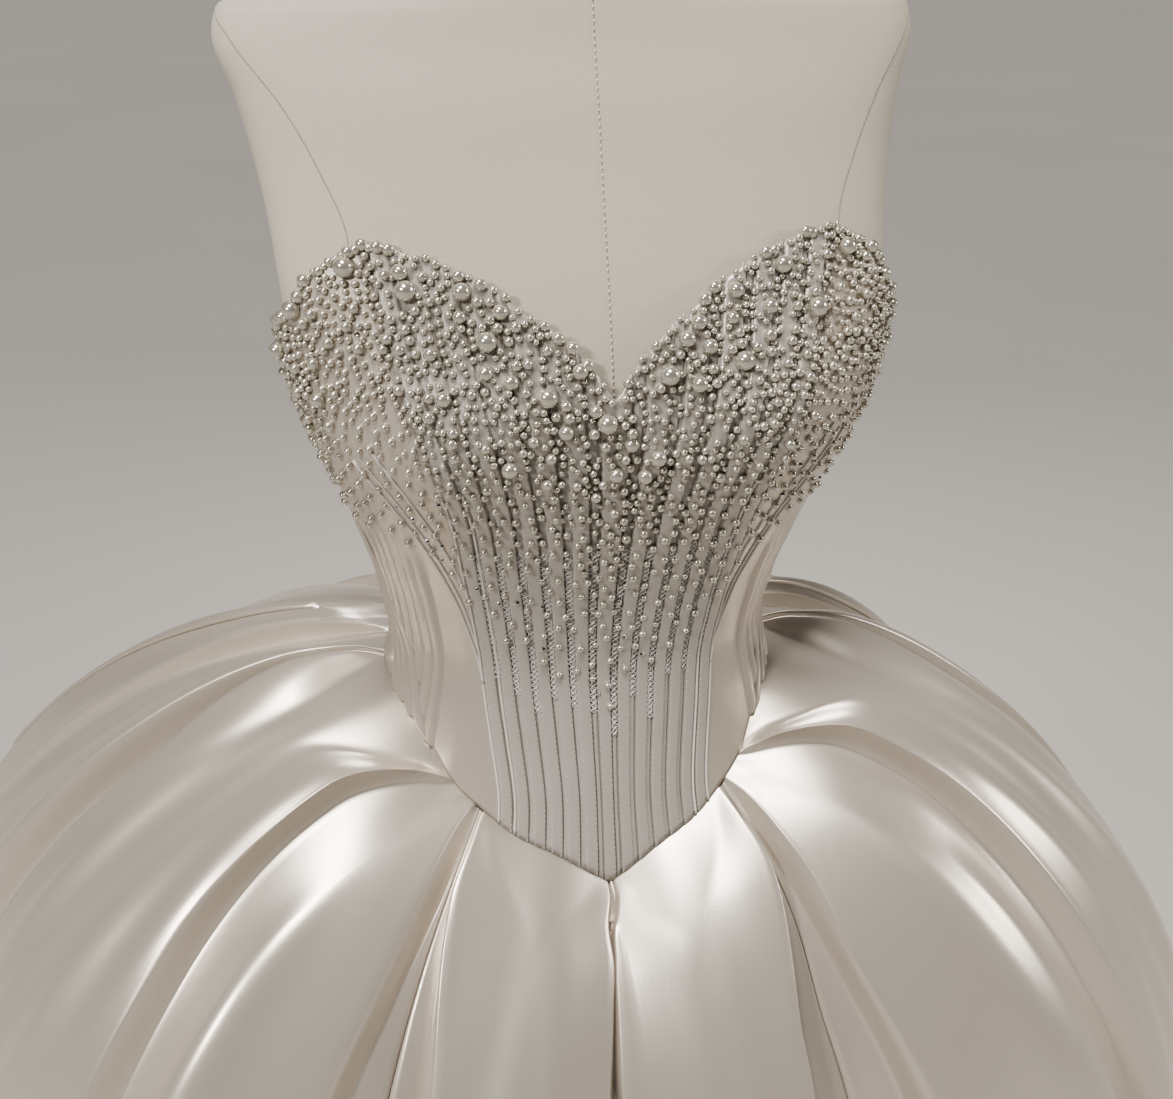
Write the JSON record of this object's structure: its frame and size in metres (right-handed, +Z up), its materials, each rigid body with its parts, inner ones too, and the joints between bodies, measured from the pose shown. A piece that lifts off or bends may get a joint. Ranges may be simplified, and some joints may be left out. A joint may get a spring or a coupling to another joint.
{
  "type": "ball gown on dress form",
  "caption": "Strapless satin ball gown with a boned, pearl-sewn sweetheart bodice and a full pleated skirt, shown on a limbless dress form with a stand.",
  "frame": {"origin": "centre of the stand's underside, on the floor", "axes": "+Z up, +X to the viewer's right, and the gown faces -Y"},
  "size_m": [1.2841, 1.2312, 1.4893],
  "materials": {
    "satin": "ivory satin with soft gloss",
    "boned_satin": "ivory satin tapes over lace",
    "zip_tape": "matt ivory tape",
    "form_linen": "cream linen cover",
    "form_metal": "satin grey enamel",
    "form_wood": "oiled wood"
  },
  "bodies": {
    "root": {"form_torso": "form_linen", "form_neck_cap": "form_wood", "form_pole": "form_metal", "form_base": "form_metal", "bodice_front": "boned_satin", "bodice_side_front_L": "satin", "bodice_side_front_R": "satin", "bodice_side_L": "satin", "bodice_side_R": "satin", "bodice_back_L": "satin", "bodice_back_R": "satin", "back_zip": "zip_tape", "skirt_front": "satin", "skirt_side_L": "satin", "skirt_side_R": "satin", "skirt_side_back_L": "satin", "skirt_side_back_R": "satin", "skirt_back_L": "satin", "skirt_back_R": "satin"}
  },
  "joints": []
}
